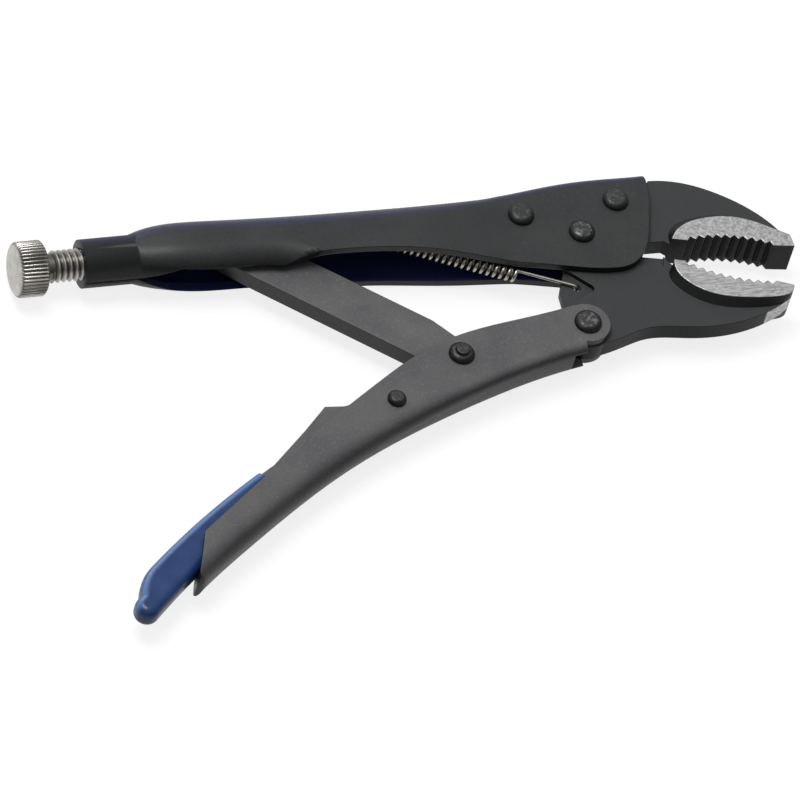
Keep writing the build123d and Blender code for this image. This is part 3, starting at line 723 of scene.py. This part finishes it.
class PLIERS_OT_stage(bpy.types.Operator):
    """Set the pale floor, the soft lamps and the camera"""

    bl_idname = "pliers.stage"
    bl_label = "Stage"

    # Name, place, size across and watts
    lamps = (
        ("overhead", (-0.4, 0.3, 1.45), 0.8, 17.0),
        ("rim", (-0.3, 1.5, 0.65), 0.4, 2.5),
    )

    def execute(self, context):
        settings = context.scene.pliers_stage
        self.floor(settings)
        self.world(context.scene)
        for name, place, size, power in self.lamps:
            self.lamp(context.scene, name, Vector(place), size, power)
        self.camera(context.scene, settings)
        context.scene.view_settings.view_transform = "Standard"
        return {"FINISHED"}

    def floor(self, settings):
        """A floor that the camera sees near white, with the tool's soft shadow on it."""
        mesh = bpy.data.meshes.new("floor")
        reach = 6.0
        corners = [(-reach, -reach, 0), (reach, -reach, 0), (reach, reach, 0), (-reach, reach, 0)]
        mesh.from_pydata(corners, [], [(0, 1, 2, 3)])
        floor = bpy.data.objects.new("floor", mesh)
        bpy.context.scene.collection.objects.link(floor)
        floor.location.z = -0.05 * mm
        material, tree, _ = new_material("pale_floor")
        direct = add_node(tree, "ShaderNodeLightPath", output="Is Camera Ray")
        mirrored = add_node(tree, "ShaderNodeLightPath", output="Is Glossy Ray")
        seen = add_node(tree, "ShaderNodeMath", {0: direct, 1: mirrored}, operation="MAXIMUM")
        paint = add_node(
            tree, "ShaderNodeMix", {0: seen, 6: settings.bounce, 7: settings.floor}, 2, data_type="RGBA"
        )
        matt = add_node(tree, "ShaderNodeBsdfDiffuse", {"Color": paint})
        white = add_node(tree, "ShaderNodeEmission", {"Strength": 1.02})
        share = add_node(tree, "ShaderNodeMath", {0: seen, 1: 0.8}, operation="MULTIPLY")
        both = add_node(tree, "ShaderNodeMixShader", {0: share, 1: matt, 2: white})
        add_node(tree, "ShaderNodeOutputMaterial", {"Surface": both})
        mesh.materials.append(material)

    def world(self, scene):
        """A plain white ground for the eye, and a sky that is brightest overhead and behind."""
        scene.world = bpy.data.worlds.new("studio")
        scene.world.use_nodes = True
        tree = scene.world.node_tree
        tree.nodes.clear()
        way = add_node(tree, "ShaderNodeTexCoord", output="Generated")
        lift = add_node(
            tree, "ShaderNodeVectorMath", {0: way, 1: (0.0, 0.45, 1.0)}, "Value", operation="DOT_PRODUCT"
        )
        sky = add_node(
            tree,
            "ShaderNodeMapRange",
            {"Value": lift, "From Min": -0.3, "From Max": 1.05, "To Min": 0.04, "To Max": 0.75},
        )
        seen = add_node(tree, "ShaderNodeLightPath", output="Is Camera Ray")
        strength = add_node(tree, "ShaderNodeMix", {0: seen, 2: sky, 3: 1.0}, data_type="FLOAT")
        ground = add_node(tree, "ShaderNodeBackground", {"Color": linear("#ffffff"), "Strength": strength})
        add_node(tree, "ShaderNodeOutputWorld", {"Surface": ground})

    def lamp(self, scene, name, place, size, power):
        data = bpy.data.lights.new(name, "AREA")
        data.shape = "DISK"
        data.size = size
        data.energy = power
        lamp = bpy.data.objects.new(name, data)
        scene.collection.objects.link(lamp)
        lamp.location = place
        lamp.rotation_euler = (-place).to_track_quat("-Z", "Y").to_euler()

    def camera(self, scene, settings):
        data = bpy.data.cameras.new("camera")
        data.sensor_width = 36.0
        data.lens = data.sensor_width * settings.distance / settings.frame_width
        camera = bpy.data.objects.new("camera", data)
        scene.collection.objects.link(camera)
        # The photograph's viewing angle, as the picture's right and up
        right = Vector((0.94567, -0.25710, 0.19900))
        up = Vector((0.09106, 0.79705, 0.59701))
        back = right.cross(up)
        target = at(-71.4, -51.8)
        turn = Matrix((right, up, back)).transposed().to_4x4()
        camera.matrix_world = Matrix.Translation(target + back * settings.distance) @ turn
        data.clip_start = 0.01
        data.clip_end = 2 * settings.distance
        scene.camera = camera


class PLIERS_PT_panel(bpy.types.Panel):
    """Steps that dress the pliers"""

    bl_idname = "PLIERS_PT_panel"
    bl_label = "Locking pliers"
    bl_space_type = "VIEW_3D"
    bl_region_type = "UI"
    bl_category = "Pliers"

    def draw(self, context):
        for step in steps:
            self.layout.operator(step.bl_idname)


settings_groups = {
    "pliers_finish": FinishSettings,
    "pliers_screw": ScrewSettings,
    "pliers_spring": SpringSettings,
    "pliers_stage": StageSettings,
}
steps = (
    PLIERS_OT_plates,
    PLIERS_OT_jaws,
    PLIERS_OT_sleeve,
    PLIERS_OT_rivets,
    PLIERS_OT_screw,
    PLIERS_OT_knob,
    PLIERS_OT_spring,
    PLIERS_OT_stage,
)


def register():
    for group in (*settings_groups.values(), *steps, PLIERS_PT_panel):
        bpy.utils.register_class(group)
    for name, group in settings_groups.items():
        setattr(bpy.types.Scene, name, bpy.props.PointerProperty(type=group))


def unregister():
    for name in settings_groups:
        delattr(bpy.types.Scene, name)
    for group in (*settings_groups.values(), *steps, PLIERS_PT_panel):
        bpy.utils.unregister_class(group)


def main():
    register()
    bpy.ops.pliers.plates()
    bpy.ops.pliers.jaws()
    bpy.ops.pliers.sleeve()
    bpy.ops.pliers.rivets()
    bpy.ops.pliers.screw()
    bpy.ops.pliers.knob()
    bpy.ops.pliers.spring()
    bpy.ops.pliers.stage()


if __name__ == "__main__":
    main()
